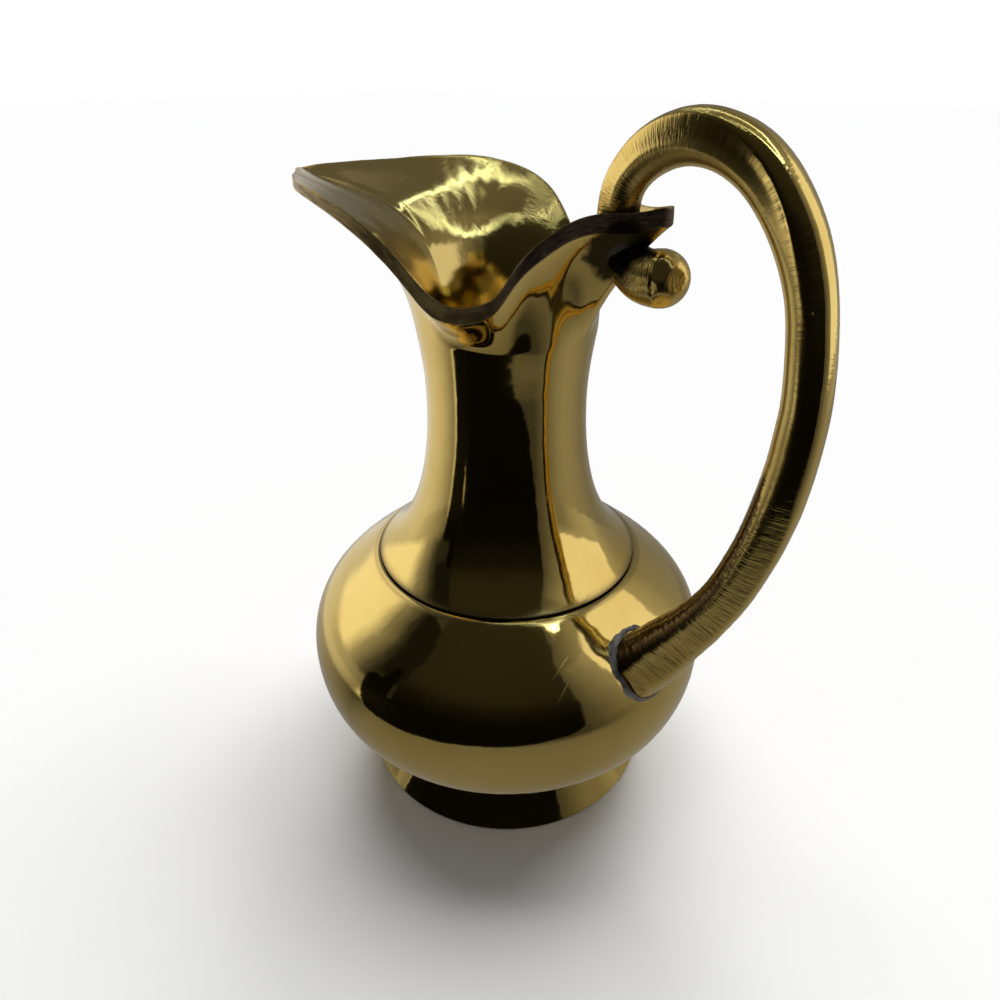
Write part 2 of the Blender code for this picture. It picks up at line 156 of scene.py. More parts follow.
# Fineness of the meshes
ROUND_STEPS = 288
BOWL_OUTSIDE_STEPS = 150
BOWL_INSIDE_STEPS = 110
UNDERSIDE_STEPS = 400
BOWL_RADIUS_STEPS = 600
AXIS_HOLE = 0.02 * MM
NECK_STEPS = 60
FLARE_STEPS = 40
EDGE_STEPS = 7
MOUTH_STATIONS = 360
RIM_OVERLAP = 6
RIM_SAMPLES = 6000
FOOT_STEPS = 40
ROD_SIDES = 72
ROD_RINGS = 1000
BALL_LIFTS = np.linspace(86, 3, 30)
ROOT_SOLDER_SIDES = 144
ROOT_SOLDER_RINGS = 600
ROOT_SOLDER_STEPS = 10
LIP_SOLDER_SIDES = 96
LIP_SOLDER_RINGS = 1800

bowl_lo, bowl_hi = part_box("bowl")
AXIS = Vector(((bowl_lo.x + bowl_hi.x) / 2, 0.0, 0.0))


# Curves
def full_turn(count):
    """This many even turns, from 0 to just short of 2 pi."""
    return np.linspace(0.0, 2 * math.pi, count, endpoint=False)


def lengths(points):
    """How far along its line each point is."""
    steps = np.linalg.norm(np.diff(points, axis=0), axis=1)
    return np.concatenate([[0.0], np.cumsum(steps)])


def smooth_curve(points, count):
    """A natural cubic spline through the points, sampled evenly along its length."""
    points = np.asarray(points, float)
    knots = lengths(points[:, :3])
    steps = np.diff(knots)
    n = len(points)
    rises = np.diff(points, axis=0) / steps[:, None]
    right = np.zeros_like(points)
    right[1:-1] = 6 * np.diff(rises, axis=0)
    matrix = np.eye(n)
    for i in range(1, n - 1):
        before, after = steps[i - 1 : i + 1]
        matrix[i, i - 1 : i + 2] = before, 2 * (before + after), after
    bend = np.linalg.solve(matrix, right)
    places = np.linspace(0.0, knots[-1], count)
    i = np.clip(np.searchsorted(knots, places) - 1, 0, n - 2)
    a = ((knots[i + 1] - places) / steps[i])[:, None]
    b = ((places - knots[i]) / steps[i])[:, None]
    sag = ((a**3 - a) * bend[i] + (b**3 - b) * bend[i + 1]) * steps[i][:, None] ** 2 / 6
    return a * points[i] + b * points[i + 1] + sag


def beside(line, distance):
    """The flat line moved sideways by a distance, to its left."""
    way = np.gradient(line, axis=0)
    way /= np.linalg.norm(way, axis=1)[:, None]
    return line + distance * np.stack([-way[:, 1], way[:, 0]], axis=1)


def ramp(values, start, end):
    """0 up to the start, 1 from the end on, straight between them."""
    return np.clip((values - start) / (end - start), 0, 1)


def hump(values, middle, width):
    """1 at the middle, fading away on both sides of it."""
    return np.exp(-(((values - middle) / width) ** 2))


def waves(points, size, seed):
    """Smooth noise from -1 to 1 at each point, with bumps about this size in metres."""
    shift = Vector((seed * 3.7, seed * 1.9, seed * 5.3))
    flat = np.asarray(points, float).reshape(-1, 3) / size
    found = [noise.noise(Vector(p) + shift) for p in flat]
    return np.array(found).reshape(np.shape(points)[:-1])


def round_axis(radius, turn, height):
    """Points this far from the upright axis, at these turns and heights."""
    point = np.broadcast_arrays(radius * np.cos(turn), radius * np.sin(turn), height)
    return np.stack(point, axis=-1)


# Meshes
def add_object(name, data):
    piece = bpy.data.objects.new(name, data)
    bpy.context.scene.collection.objects.link(piece)
    return piece


def add_grid(name, rings, marks, sharp_from, close_rows=True, close_columns=True, capped=False):
    """Quads over rings of points. marks: {attribute name: values, one a point}."""
    rows, columns = rings.shape[:2]
    index = np.arange(rows * columns).reshape(rows, columns)
    caps = [index[0, ::-1].tolist(), index[-1].tolist()] if capped else []
    if close_columns:
        index = np.concatenate([index, index[:, :1]], axis=1)
    if close_rows:
        index = np.concatenate([index, index[:1]])
    quads = np.stack([index[:-1, :-1], index[:-1, 1:], index[1:, 1:], index[1:, :-1]], axis=-1)
    mesh = bpy.data.meshes.new(name)
    corners = (rings.reshape(-1, 3) + np.array(AXIS)).tolist()
    mesh.from_pydata(corners, [], quads.reshape(-1, 4).tolist() + caps)
    for key, values in marks.items():
        values = np.broadcast_to(values, (rows, columns)).reshape(-1)
        mark = mesh.attributes.new(key, "FLOAT", "POINT")
        mark.data.foreach_set("value", values.astype(np.float32))
    mesh.validate()
    mesh.shade_smooth()
    mesh.set_sharp_from_angle(angle=math.radians(sharp_from))
    facing_out(mesh)
    return add_object(name, mesh)


def facing_out(mesh):
    """Turns the faces to look out of the piece."""
    bm = bmesh.new()
    bm.from_mesh(mesh)
    bmesh.ops.recalc_face_normals(bm, faces=bm.faces)
    if bm.calc_volume(signed=True) < 0:
        bmesh.ops.reverse_faces(bm, faces=bm.faces)
    bm.to_mesh(mesh)
    bm.free()


def turned(section):
    """The (radius, height) section as rings round the axis, one a step."""
    return round_axis(section[:, 0], full_turn(ROUND_STEPS)[:, None], section[:, 1])


def swollen(rings, swell):
    """The rings with each point moved out from the axis by its own swell."""
    radial = rings * [1, 1, 0]
    radial /= np.maximum(np.linalg.norm(radial, axis=-1, keepdims=True), 1e-9)
    return rings + radial * swell[..., None]


def soot_and_shade_near(points):
    """How dark each point is painted round the rod's solder under the rear lip, 0 to 1: soot and
    painted shade.
    """
    away = np.linalg.norm(np.asarray(points) - np.array(SOOT_SHADE_PLACE) * MM, axis=-1) / MM
    return ramp(away, SOOT_SHADE_REACH, SOOT_SHADE_CORE)


def paint(piece, material):
    piece.data.materials.clear()
    piece.data.materials.append(material)


def dress(piece, node, material):
    paint(piece, material)
    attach(piece, "root")
    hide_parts(node)


# Bowl
def bowl_outside(count):
    """Its (radius, height) outline from the shoulder down to the axis."""
    line = smooth_curve(np.array(BOWL_PROFILE) * [BELLY_RADIUS, BOWL_TOP_Z], count)
    line[-1, 0] = 0.0
    return line


def underside_height(radius):
    line = bowl_outside(UNDERSIDE_STEPS)
    low = line[line[:, 1] < line[line[:, 0].argmax(), 1]][::-1]
    return float(np.interp(radius, low[:, 0], low[:, 1]))


def bowl_radius(height):
    """The bowl's outside radius at a height, above its widest line or below."""
    line = bowl_outside(BOWL_RADIUS_STEPS)
    order = np.argsort(line[:, 1])
    return np.interp(height, line[order, 1], line[order, 0])


def add_bowl():
    outside = bowl_outside(BOWL_OUTSIDE_STEPS)
    shoulder = outside[0, 0]
    bore = SPIGOT_RADIUS + JOINT_GAP
    seat = SEAM_SOLDER + JOINT_GAP
    inside = beside(bowl_outside(BOWL_INSIDE_STEPS), -BOWL_WALL)
    below_throat = inside[:, 1] < BOWL_TOP_Z - seat - 0.5 * BOWL_WALL
    past_bore = (inside[:, 0] > bore) | (inside[:, 1] < BOWL_TOP_Z / 2)
    inside = inside[below_throat & past_bore]
    inside[-1, 0] = AXIS_HOLE
    throat = [
        (bore, BOWL_TOP_Z - seat),
        (bore + seat, BOWL_TOP_Z),
        (shoulder - 0.25 * MM, BOWL_TOP_Z),
        (shoulder - 0.08 * MM, BOWL_TOP_Z - 0.05 * MM),
    ]
    outside = outside[1:]
    outside[-1, 0] = AXIS_HOLE
    section = np.concatenate([inside[::-1], throat, outside])
    rings = turned(section)
    shown = np.arange(len(section)) >= len(section) - len(outside)
    swell = (waves(rings, 22 * MM, 1) - 1.3) * 0.018 * MM
    z = section[:, 1]
    seam = hump(z, BOWL_TOP_Z, 0.5 * MM)
    # Painted shade under the bowl, down into the crease above the foot ring
    under = ramp(z, 15 * MM, 13 * MM)
    marks = {
        "inside": (~shown).astype(float),
        "joint_dirt_and_shade": np.maximum(seam, 0.7 * under) * shown,
    }
    return add_grid("brass_bowl", swollen(rings, swell * shown), marks, 50, close_columns=False)


# Neck and mouth
OUTSIDE, FACE, INSIDE, CREST = range(4)
ROUNDING = ((1.0, 0.0), (0.38, 0.08), (0.08, 0.38))


def lip_at(degrees):
    """The lip's rise and its edge's lean in radians, the edge's height, and the neck's pull."""
    table = np.array(LIP, float).T
    rise, lean, height, pull = [np.interp(degrees, table[0], row) for row in table[1:]]
    return math.radians(rise), math.radians(lean), height * MM, pull


def rim_stations(count):
    """Points all round the rim's inner edge, closer together where it turns."""
    near = np.array(RIM_EDGE) * MM
    off_middle = (np.arctan2(near[:, 1], near[:, 0]) - FAR_RIM_MIDDLE) / FAR_RIM_SPREAD
    far = near.copy()
    far[:, 0] += FAR_RIM_SHIFT * np.exp(-(off_middle**2))
    whole = np.concatenate([far, (near * [1, -1, 1])[-2:0:-1]])
    looped = np.concatenate([whole[-RIM_OVERLAP:], whole, whole[:RIM_OVERLAP]])
    fine = smooth_curve(looped, RIM_SAMPLES)
    from_tail = np.linalg.norm(fine - whole[0], axis=1)
    middle = RIM_SAMPLES // 2
    first = from_tail[:middle].argmin()
    last = middle + from_tail[middle:].argmin()
    fine = fine[first:last]
    run = np.linalg.norm(np.diff(fine, axis=0, append=fine[:1]), axis=1)
    angle = np.unwrap(np.arctan2(fine[:, 1], fine[:, 0]))
    turn = np.abs(np.diff(angle, append=angle[0] + 2 * math.pi))
    place = np.concatenate([[0.0], np.cumsum(run / run.sum() + turn / turn.sum())])
    closed = np.concatenate([fine, fine[:1]])
    wanted = np.linspace(0.0, place[-1], count, endpoint=False)
    return np.stack([np.interp(wanted, place, closed[:, k]) for k in range(3)], axis=1)


def flare(start, start_way, pull, end, end_way):
    """The curve from the neck's top to the lip, without its first point."""
    chord = np.linalg.norm(end - start)
    low = start + start_way * chord * pull
    high = end - end_way * chord * LIP_PULL
    t = np.linspace(0.0, 1.0, FLARE_STEPS)[1:, None]
    u = 1 - t
    return u**3 * start + 3 * u**2 * t * low + 3 * u * t**2 * high + t**3 * end


def mouth_section(rim_point, outer, uneven):
    """The closed (radius, height) section under one rim point, and which part each point is."""
    around = abs(math.degrees(math.atan2(rim_point[1], rim_point[0])))
    rise, lean, height, pull = lip_at(around)
    along = np.array([math.cos(rise), math.sin(rise)])
    down = np.array([math.sin(lean), -math.cos(lean)])
    inner_lip = np.array([math.hypot(rim_point[0], rim_point[1]), rim_point[2] + MOUTH_Z])
    outer_lip = inner_lip + down * height * (1 + 0.10 * uneven[0])
    inner = beside(outer, NECK_WALL)
    up = outer[-1] - outer[-2]
    up /= np.linalg.norm(up)
    outer_flare = flare(outer[-1], up, pull, outer_lip, along)
    inner_flare = flare(inner[-1], up, pull, inner_lip, along)
    soft = RIM_CHAMFER * (0.8 + 0.4 * uneven[1])
    t = np.linspace(0.0, 1.0, EDGE_STEPS)[:, None]
    face = (outer_lip - down * soft) * (1 - t) + (inner_lip + down * soft) * t
    face = face + along * (4 * t * (1 - t) - 1) * FACE_DISH
    low_round = [outer_lip - (along * a + down * b) * soft for a, b in ROUNDING]
    high_round = [inner_lip - (along * a - down * b) * soft for a, b in ROUNDING[::-1]]
    bore = SPIGOT_RADIUS - SPIGOT_WALL
    inner = inner[inner[:, 0] < bore]
    spigot = [
        (bore, SEAM_Z - SPIGOT_DEPTH),
        (SPIGOT_RADIUS, SEAM_Z - SPIGOT_DEPTH),
        (SPIGOT_RADIUS, SEAM_Z),
        (outer[0, 0] - 0.2 * MM, SEAM_Z),
    ]
    groups = [
        (outer, OUTSIDE),
        (outer_flare[:-1], OUTSIDE),
        (low_round, FACE),
        (face, FACE),
        (high_round, CREST),
        (inner_flare[-2::-1], INSIDE),
        (inner[::-1], INSIDE),
        (spigot, INSIDE),
    ]
    points = np.concatenate([group for group, _ in groups])
    kinds = np.concatenate([[kind] * len(group) for group, kind in groups])
    return points, kinds


def add_neck():
    profile = np.array(NECK_PROFILE) * [NECK_BASE_RADIUS, NECK_HEIGHT] + [0.0, SEAM_Z]
    line = smooth_curve(profile, NECK_STEPS)
    stations = rim_stations(MOUTH_STATIONS)
    wobble = waves(stations, 9 * MM, 4) * 0.16 * MM + waves(stations, 3.5 * MM, 5) * 0.05 * MM
    stations[:, 2] += wobble
    uneven = np.stack([waves(stations, 7 * MM, 6), waves(stations, 5 * MM, 7)], axis=1)
    rings = []
    for point, mark in zip(stations, uneven):
        section, kinds = mouth_section(point, line, mark)
        around = math.atan2(point[1], point[0])
        rings.append(round_axis(section[:, 0], around, section[:, 1]))
    rings = np.array(rings)
    swell = waves(rings, 17 * MM, 8) * 0.03 * MM + waves(rings, 7 * MM, 9) * 0.006 * MM
    rings = swollen(rings, swell * (kinds != FACE) * (kinds != CREST))
    turn = np.degrees(np.abs(np.arctan2(stations[:, 1], stations[:, 0])))
    marks = {
        "inside": (kinds == INSIDE).astype(float),
        "edge": (kinds == FACE) + 0.45 * (kinds == CREST),
        "tail": ramp(turn, 75, 45)[:, None],
        "joint_dirt_and_shade": hump(rings[..., 2], SEAM_Z, 0.6 * MM) * (kinds == OUTSIDE),
        "run": lengths(stations)[:, None] / MM,
        "across": lengths(rings[0]) / MM,
        # Soot, and painted shade on the underside of the rear lip
        "soot_and_shade": soot_and_shade_near(rings) * (kinds != INSIDE),
    }
    return add_grid("brass_neck_and_spout", rings, marks, 38)


# Foot ring
def add_foot():
    joint = FOOT_PROFILE[0][0] * FOOT_RADIUS
    height = underside_height(joint) - SEAT_GAP - FOOT_EDGE
    profile = np.array(FOOT_PROFILE) * [FOOT_RADIUS, height] + [0.0, FOOT_EDGE]
    outside = smooth_curve(profile, FOOT_STEPS)
    inside = beside(outside, -FOOT_WALL)
    toe_radius = np.interp(-FOOT_EDGE, -inside[:, 1], inside[:, 0])
    inside = np.concatenate([inside[inside[:, 1] > FOOT_EDGE], [(toe_radius, FOOT_EDGE)]])
    inside[0, 1] = underside_height(inside[0, 0]) - SEAT_GAP
    middle = (outside[0, 0] + inside[0, 0]) / 2
    seat = [(middle, underside_height(middle) - SEAT_GAP)]
    lifts = np.radians([90, 70, 50, 30, 10])
    outer_toe = np.stack([np.cos(lifts) - 1, 1 - np.sin(lifts)], axis=1) * FOOT_EDGE
    toe = [(toe_radius + FOOT_EDGE, 0.0), *(outer_toe + [FOOT_RADIUS, 0.0])]
    section = np.concatenate([seat, inside, toe, outside[::-1]])
    hidden = np.arange(len(section)) < len(seat) + len(inside)
    z = section[:, 1]
    top = hump(z, z.max(), 1.2 * MM)
    # Painted contact shade round the toe, where it stands on the table; the top is the dark joint
    # under the bowl
    toe_shade = hump(z, 0.0, 0.5 * MM)
    marks = {
        "inside": hidden.astype(float),
        "joint_dirt_and_shade": np.maximum(top, 0.6 * toe_shade) * ~hidden,
    }
    return add_grid("brass_foot_ring", turned(section), marks, 40)


# Handle
def rod_rings(grow, count, sides):
    """The rod's rings, slightly squared and flattened, its centre line with the diameters, the
    line's way at each point, and two ways square to that."""
    line = smooth_curve(np.array(HANDLE_LINE) * MM, count)
    line[:, 2] += MOUTH_Z
    way = np.gradient(line[:, :3], axis=0)
    way /= np.linalg.norm(way, axis=1)[:, None]
    normal = np.stack([way[:, 2], 0.0 * way[:, 1], -way[:, 0]], axis=1)
    normal /= np.linalg.norm(normal, axis=1)[:, None]
    aside = np.cross(way, normal)
    turns = full_turn(sides)
    c = np.cos(turns)
    s = np.sin(turns)
    unit = (np.abs(c) ** ROD_SQUARENESS + np.abs(s) ** ROD_SQUARENESS) ** (-1 / ROD_SQUARENESS)
    across = (unit * c)[None, :, None]
    beyond = (unit * s * ROD_FLATTENING)[None, :, None]
    shape = across * normal[:, None, :] + beyond * aside[:, None, :]
    radius = line[:, 3] / 2 + grow
    return line[:, None, :3] + shape * radius[:, None, None], line, way, normal, aside


def ball_end(line, way, normal, aside):
    """The ball's rings, from its tip to the rod."""
    turns = full_turn(ROD_SIDES)[:, None]
    radius = line[0, 3] / 2
    flat = np.cos(turns) * normal[0] + np.sin(turns) * ROD_FLATTENING * aside[0]
    rings = []
    for lift in np.radians(BALL_LIFTS):
        centre = line[0, :3] - way[0] * radius * math.sin(lift)
        rings.append(centre + flat * radius * math.cos(lift))
    return np.array(rings)


def soft_over(value, width):
    """How far each value is over nothing, rounded off over this width."""
    return width * np.logaddexp(0.0, value / width)


def angle_from(degrees, turns):
    """How far each turn is from a turn in degrees, from -pi to pi."""
    return (turns[None, :] - np.radians(degrees) + math.pi) % (2 * math.pi) - math.pi


def hammered(points):
    """How far the small hammer marks stand out at each point, mostly below 0."""
    return waves(points, HAMMER_LUMP, 11) * HAMMER_RISE - HAMMER_SINK


def hammered_side(place, turns, radius):
    """How deep the long flat on the rod's near side lies under a round section."""
    along, middle, half = np.array(SIDE_FLAT, float).T
    off = angle_from(np.interp(place, along, middle)[:, None], turns)
    half = np.radians(np.interp(place, along, half))[:, None]
    flat = np.cos(half) / np.cos(np.clip(off, -1.2, 1.2))
    return soft_over(radius[:, None] * (1 - flat), 0.035 * MM)


def ball_flats(out, radius, way, normal, aside):
    """How deep the hammer flats on the ball lie under it."""
    deep = np.zeros(radius.shape)
    for turn, lift, half in np.radians(BALL_FLATS):
        level = math.cos(turn) * normal + math.sin(turn) * aside
        facing = np.clip(out @ (level * math.cos(lift) + way * math.sin(lift)), 0.3, 1.0)
        deep += soft_over(radius * (1 - math.cos(half) / facing), 0.04 * MM)
    return deep


def file_ridges(place, turns, low):
    """The ridges across the rod from the file, deepest on the inner side low down."""
    inner_side = 0.5 + 0.5 * np.cos(turns)
    around = np.roll(round_axis(0.9, turns, (place / FILE_PITCH)[:, None]), 1, axis=-1)
    ridges = waves(around, 1.0, 12) - 0.6
    bands = waves(around * [0.4, 1.0, 1.0], 1.0, 13) - 0.6
    high = hump(place / MM, 58, 26)[:, None] * (1 - inner_side)
    depth = 0.012 + 0.022 * low + 0.050 * low * inner_side + 0.020 * high
    return (ridges + 0.6 * bands) * depth * MM


def shade_band_mask(run, turns):
    """Where the low part of the rod gets painted shade: along its inner side, widest at the root."""
    along, half = np.array(SHADE_BAND, float).T
    wide = np.radians(np.interp(run, along, half))[:, None]
    return hump(angle_from(SHADE_TURN, turns), 0.0, wide) * ramp(run, 104, 116)[:, None]


def satin_band(run, turns):
    """Where the loop of the rod is duller: along its inner side, on the hammered part."""
    part = ramp(run, 22, 36) * ramp(run, 122, 108)
    off = angle_from(SATIN_TURN, turns) / math.radians(SATIN_HALF)
    return np.exp(-(off**4)) * part[:, None]


def add_handle():
    rings, line, way, normal, aside = rod_rings(0.0, ROD_RINGS, ROD_SIDES)
    place = lengths(line[:, :3])
    share = place / place[-1]
    turns = full_turn(ROD_SIDES)
    outward = rings - line[:, None, :3]
    outward /= np.linalg.norm(outward, axis=-1, keepdims=True)
    # The file's ridges stop at the root; nothing stands out over the solid's skin
    filed = file_ridges(place, turns, ramp(share, 0.52, 0.77)[:, None])
    lift = hammered(rings) + filed * ramp(share, 1.0, 0.985)[:, None]
    lift -= hammered_side(place / MM, turns, line[:, 3] / 2)
    rings = rings + outward * np.minimum(lift, 0.0)[..., None]

    ball = ball_end(line, way, normal, aside)
    outward = ball - line[0, :3]
    radius = np.linalg.norm(outward, axis=-1, keepdims=True)
    outward /= radius
    lift = hammered(ball) - ball_flats(outward, radius[..., 0], way[0], normal[0], aside[0])
    ball = ball + outward * np.minimum(lift, 0.0)[..., None]

    whole = np.concatenate([ball, rings])
    run = np.concatenate([-np.linspace(6, 0.3, len(ball)), place / MM])
    share = np.concatenate([np.zeros(len(ball)), share])
    marks = {
        "run": run[:, None],
        "turn": turns,
        "low": ramp(share, 0.52, 0.77)[:, None],
        "rear": ramp(run, 52, 36)[:, None],
        "root": ramp(share, 0.93, 0.98)[:, None],
        # Soot, and painted shade under the rear lip, on the rod's inner side only
        "soot_and_shade": soot_and_shade_near(whole) * np.clip(0.75 + 0.75 * np.cos(turns - math.radians(330)), 0, 1),
        # Painted shade down the rod's inner side, low on the loop
        "inner_shade": shade_band_mask(run, turns),
        "satin": satin_band(run, turns),
    }
    return add_grid("brass_handle", whole, marks, 60, close_rows=False, capped=True)


# Solder
def add_shell(name, outer, inner):
    """A closed collar between an outer and an inner set of rings."""
    return add_grid(name, np.concatenate([outer, inner[::-1]]), {}, 60)


def on_bowl(points, grow):
    """The points moved in or out, level, to stand this far off the bowl's outside."""
    radius = np.hypot(points[:, 0], points[:, 1])
    wanted = bowl_radius(points[:, 2]) + grow
    moved = points.copy()
    moved[:, :2] *= (wanted / radius)[:, None]
    return moved


def root_outline():
    """Where the rod's sides come down to the bowl, the ways out from it there, and the way up."""
    rings, line, way = rod_rings(0.0, ROOT_SOLDER_RINGS, ROOT_SOLDER_SIDES)[:3]
    half = ROOT_SOLDER_RINGS // 2
    feet = []
    ways_out = []
    for column in rings.transpose(1, 0, 2):
        gap = np.hypot(column[:, 0], column[:, 1]) - bowl_radius(column[:, 2]) - JOINT_GAP
        i = half + int(np.argmax(gap[half:] < 0))
        t = gap[i - 1] / (gap[i - 1] - gap[i])
        feet.append(column[i - 1] * (1 - t) + column[i] * t)
        out = column[i] - line[i, :3]
        ways_out.append(out / np.linalg.norm(out))
    feet = np.array(feet)
    up = -way[np.abs(line[:, 2] - feet[:, 2].mean()).argmin()]
    return feet, np.array(ways_out), up


def add_root_solder():
    """A lumpy fillet from the rod's side out over the bowl."""
    feet, ways_out, up = root_outline()
    loop = round_axis(4, full_turn(ROOT_SOLDER_SIDES), 0)
    spread = (1.25 + 0.75 * waves(loop, 1.3, 21) + 0.4 * waves(loop, 0.5, 22)) * MM
    climb = (0.55 + 0.35 * waves(loop, 1.1, 23) + 0.20 * waves(loop, 0.4, 24)) * MM
    outer = []
    inner = []
    for t in np.linspace(0.0, 1.0, ROOT_SOLDER_STEPS + 1):
        rise = climb * (1 - t) ** 2.2
        reach = spread * t**1.4
        point = feet + up * (rise + 0.02 * MM)[:, None] + ways_out * (reach + 0.05 * MM)[:, None]
        if t > 0:
            point = on_bowl(point, rise + 0.06 * MM)
        outer.append(point)
        point = feet + ways_out * (reach * 0.98 + 0.02 * MM)[:, None]
        inner.append(on_bowl(point, 0.02 * MM))
    outer = np.array(outer)
    lumps = waves(outer, 0.9 * MM, 25) * 0.07 * MM
    return add_shell("solder_collar_at_root", outer + up * lumps[..., None], np.array(inner))


def add_lip_solder():
    """A lumpy collar where the rod comes out under the rear lip."""
    rings, line = rod_rings(-0.25 * MM, LIP_SOLDER_RINGS, LIP_SOLDER_SIDES)[:2]
    first = int(np.argmax(line[:, 2] > LIP_SOLDER_LOW))
    last = int(np.argmax(line[:, 2] > LIP_SOLDER_HIGH))
    rings = rings[first:last:2]
    out = rings - line[first:last:2, None, :3]
    out /= np.linalg.norm(out, axis=-1, keepdims=True)
    t = np.linspace(0, 1, len(rings))[:, None]
    around = round_axis(3, full_turn(LIP_SOLDER_SIDES), 5 * t)
    wall = 0.28 + 0.60 * t**1.6 + 0.05 * waves(around, 0.9, 31) + 0.03 * waves(around, 0.35, 32)
    outer = rings + out * (np.maximum(wall, 0.03) * MM)[..., None]
    return add_shell("solder_at_rear_lip", outer, rings)


# Materials
class Nodes:
    """Short calls for building the nodes of one material, or of the world."""

    def __init__(self, owner):
        owner.use_nodes = True
        self.owner = owner
        self.tree = owner.node_tree
        self.tree.nodes.clear()

    def add(self, kind, inputs, **settings):
        """A node. inputs: {name or number of an input: its value, or the output to join}."""
        node = self.tree.nodes.new(kind)
        for key, value in settings.items():
            setattr(node, key, value)
        for key, value in inputs.items():
            socket = node.inputs[key]
            if hasattr(value, "is_output"):
                self.tree.links.new(value, socket)
            elif socket.type == "RGBA":
                socket.default_value = (*value, 1.0)
            else:
                socket.default_value = value
        return node

    def math(self, operation, *values, clamp=False):
        inputs = dict(enumerate(values))
        node = self.add("ShaderNodeMath", inputs, operation=operation, use_clamp=clamp)
        return node.outputs[0]

    def times(self, a, b):
        return self.math("MULTIPLY", a, b)

    def place(self):
        return self.add("ShaderNodeTexCoord", {}).outputs["Object"]

    def mark(self, name):
        return self.add("ShaderNodeAttribute", {}, attribute_name=name).outputs["Fac"]

    def vector(self, *parts):
        return self.add("ShaderNodeCombineXYZ", dict(enumerate(parts))).outputs[0]

    def cloud(self, vector, scale, detail, rough=0.5):
        inputs = {"Vector": vector, "Scale": scale, "Detail": detail, "Roughness": rough}
        return self.add("ShaderNodeTexNoise", inputs).outputs["Fac"]

    def grain(self, vector, stretch, detail, rough=0.5, turn=(0.0, 0.0, 0.0)):
        """Noise stretched along its own axes and turned."""
        inputs = {"Vector": vector, "Scale": stretch, "Rotation": turn}
        mapped = self.add("ShaderNodeMapping", inputs).outputs[0]
        return self.cloud(mapped, 1.0, detail, rough)

    def between(self, value, low, high):
        inputs = {"Value": value, "From Min": low, "From Max": high}
        node = self.add("ShaderNodeMapRange", inputs, interpolation_type="SMOOTHSTEP")
        return node.outputs[0]

    def mix(self, share, a, b):
        """Colour a, turning into colour b with the share."""
        return self.add("ShaderNodeMix", {0: share, 6: a, 7: b}, data_type="RGBA").outputs[2]

    def blend(self, share, a, b):
        """Number a, turning into number b with the share."""
        return self.add("ShaderNodeMix", {0: share, 2: a, 3: b}, data_type="FLOAT").outputs[0]

    def coated(self, colour, *coats):
        """The colour under its coats, each given as where, how much and what colour."""
        for where, amount, coat in coats:
            colour = self.mix(self.times(where, amount), colour, coat)
        return colour

    def roughened(self, rough, *marks):
        """The roughness with the marks' own added, each given as where and how much."""
        for where, amount in marks:
            rough = self.math("MULTIPLY_ADD", where, amount, rough, clamp=True)
        return rough

    def bumps(self, *bumps, normal=None):
        """A normal with each (height, distance) bump laid over the one before."""
        for height, distance in bumps:
            inputs = {"Strength": 1.0, "Distance": distance, "Height": height}
            if normal is not None:
                inputs["Normal"] = normal
            normal = self.add("ShaderNodeBump", inputs).outputs[0]
        return normal

    def surface(self, shader, output="ShaderNodeOutputMaterial"):
        self.add(output, {"Surface": shader.outputs[0]})
        return self.owner

    def finish(self, colour, roughness, normal, metallic=1.0, specular=0.5):
        inputs = {
            "Base Color": colour,
            "Roughness": roughness,
            "Normal": normal,
            "Metallic": metallic,
            "Specular IOR Level": specular,
        }
        return self.surface(self.add("ShaderNodeBsdfPrincipled", inputs))


def material_nodes(name):
    return Nodes(bpy.data.materials.new(name))


BRASS = (0.800, 0.585, 0.190)
BRASS_DEEP = (0.740, 0.520, 0.150)
BRASS_INSIDE = (0.50, 0.385, 0.150)
# Dark dirt in the seams, and painted shade under the bowl and round the foot's toe
DIRT_AND_SHADE = (0.105, 0.070, 0.040)
# Near black: soot, and painted shade under the rear lip
SOOT_AND_SHADE = (0.020, 0.014, 0.009)
POLISHED_PIT = (0.06, 0.035, 0.012)
CAST_PIT = (0.05, 0.03, 0.012)
RIM_PALE = (0.50, 0.35, 0.14)
RIM_DARK = (0.24, 0.16, 0.07)
RIM_BRIGHT = (0.74, 0.56, 0.25)
TAIL_DARK = (0.13, 0.085, 0.060)
TAIL_PALE = (0.42, 0.33, 0.25)
STAIN = (0.25, 0.13, 0.05)
ROOT_STAIN = (0.22, 0.15, 0.11)
# Dark, for the painted shade down the rod's inner side
SHADE_BAND_DARK = (0.10, 0.055, 0.022)


def scratches(n, turn, amount):
    """Thin straight lines all leaning one way, kept in some places only."""
    line = n.between(n.grain(n.place(), (2600, 45, 45), 0.0, turn=turn), 0.74, 0.79)
    patches = n.grain(n.place(), (55, 55, 55), 1.0, turn=turn)
    return n.times(line, n.between(patches, 0.64 - amount, 0.70 - amount))


def pits(n, scale, share, size):
    """Small round pits, one in some of the cells."""
    cell = n.add("ShaderNodeTexVoronoi", {"Vector": n.place(), "Scale": scale})
    split = n.add("ShaderNodeSeparateColor", {0: cell.outputs["Color"]})
    chosen = n.math("GREATER_THAN", split.outputs[0], 1 - share)
    radius = n.math("MULTIPLY_ADD", split.outputs[1], size * 0.8, size * 0.35)
    within = n.math("SUBTRACT", radius, cell.outputs["Distance"])
    return n.times(n.between(within, 0.0, size * 0.5), chosen)


def ragged_soot_and_shade(n):
    """The ragged dark round the rear solder: soot, and painted shade under the lip."""
    ragged = n.cloud(n.place(), 330.0, 4.0, 0.65)
    return n.between(n.math("MULTIPLY_ADD", ragged, 0.7, n.mark("soot_and_shade")), 0.62, 0.95)


def brass_colour(n, scale):
    mottle = n.cloud(n.place(), scale, 3.0, 0.6)
    return mottle, n.mix(n.between(mottle, 0.35, 0.75), BRASS, BRASS_DEEP)


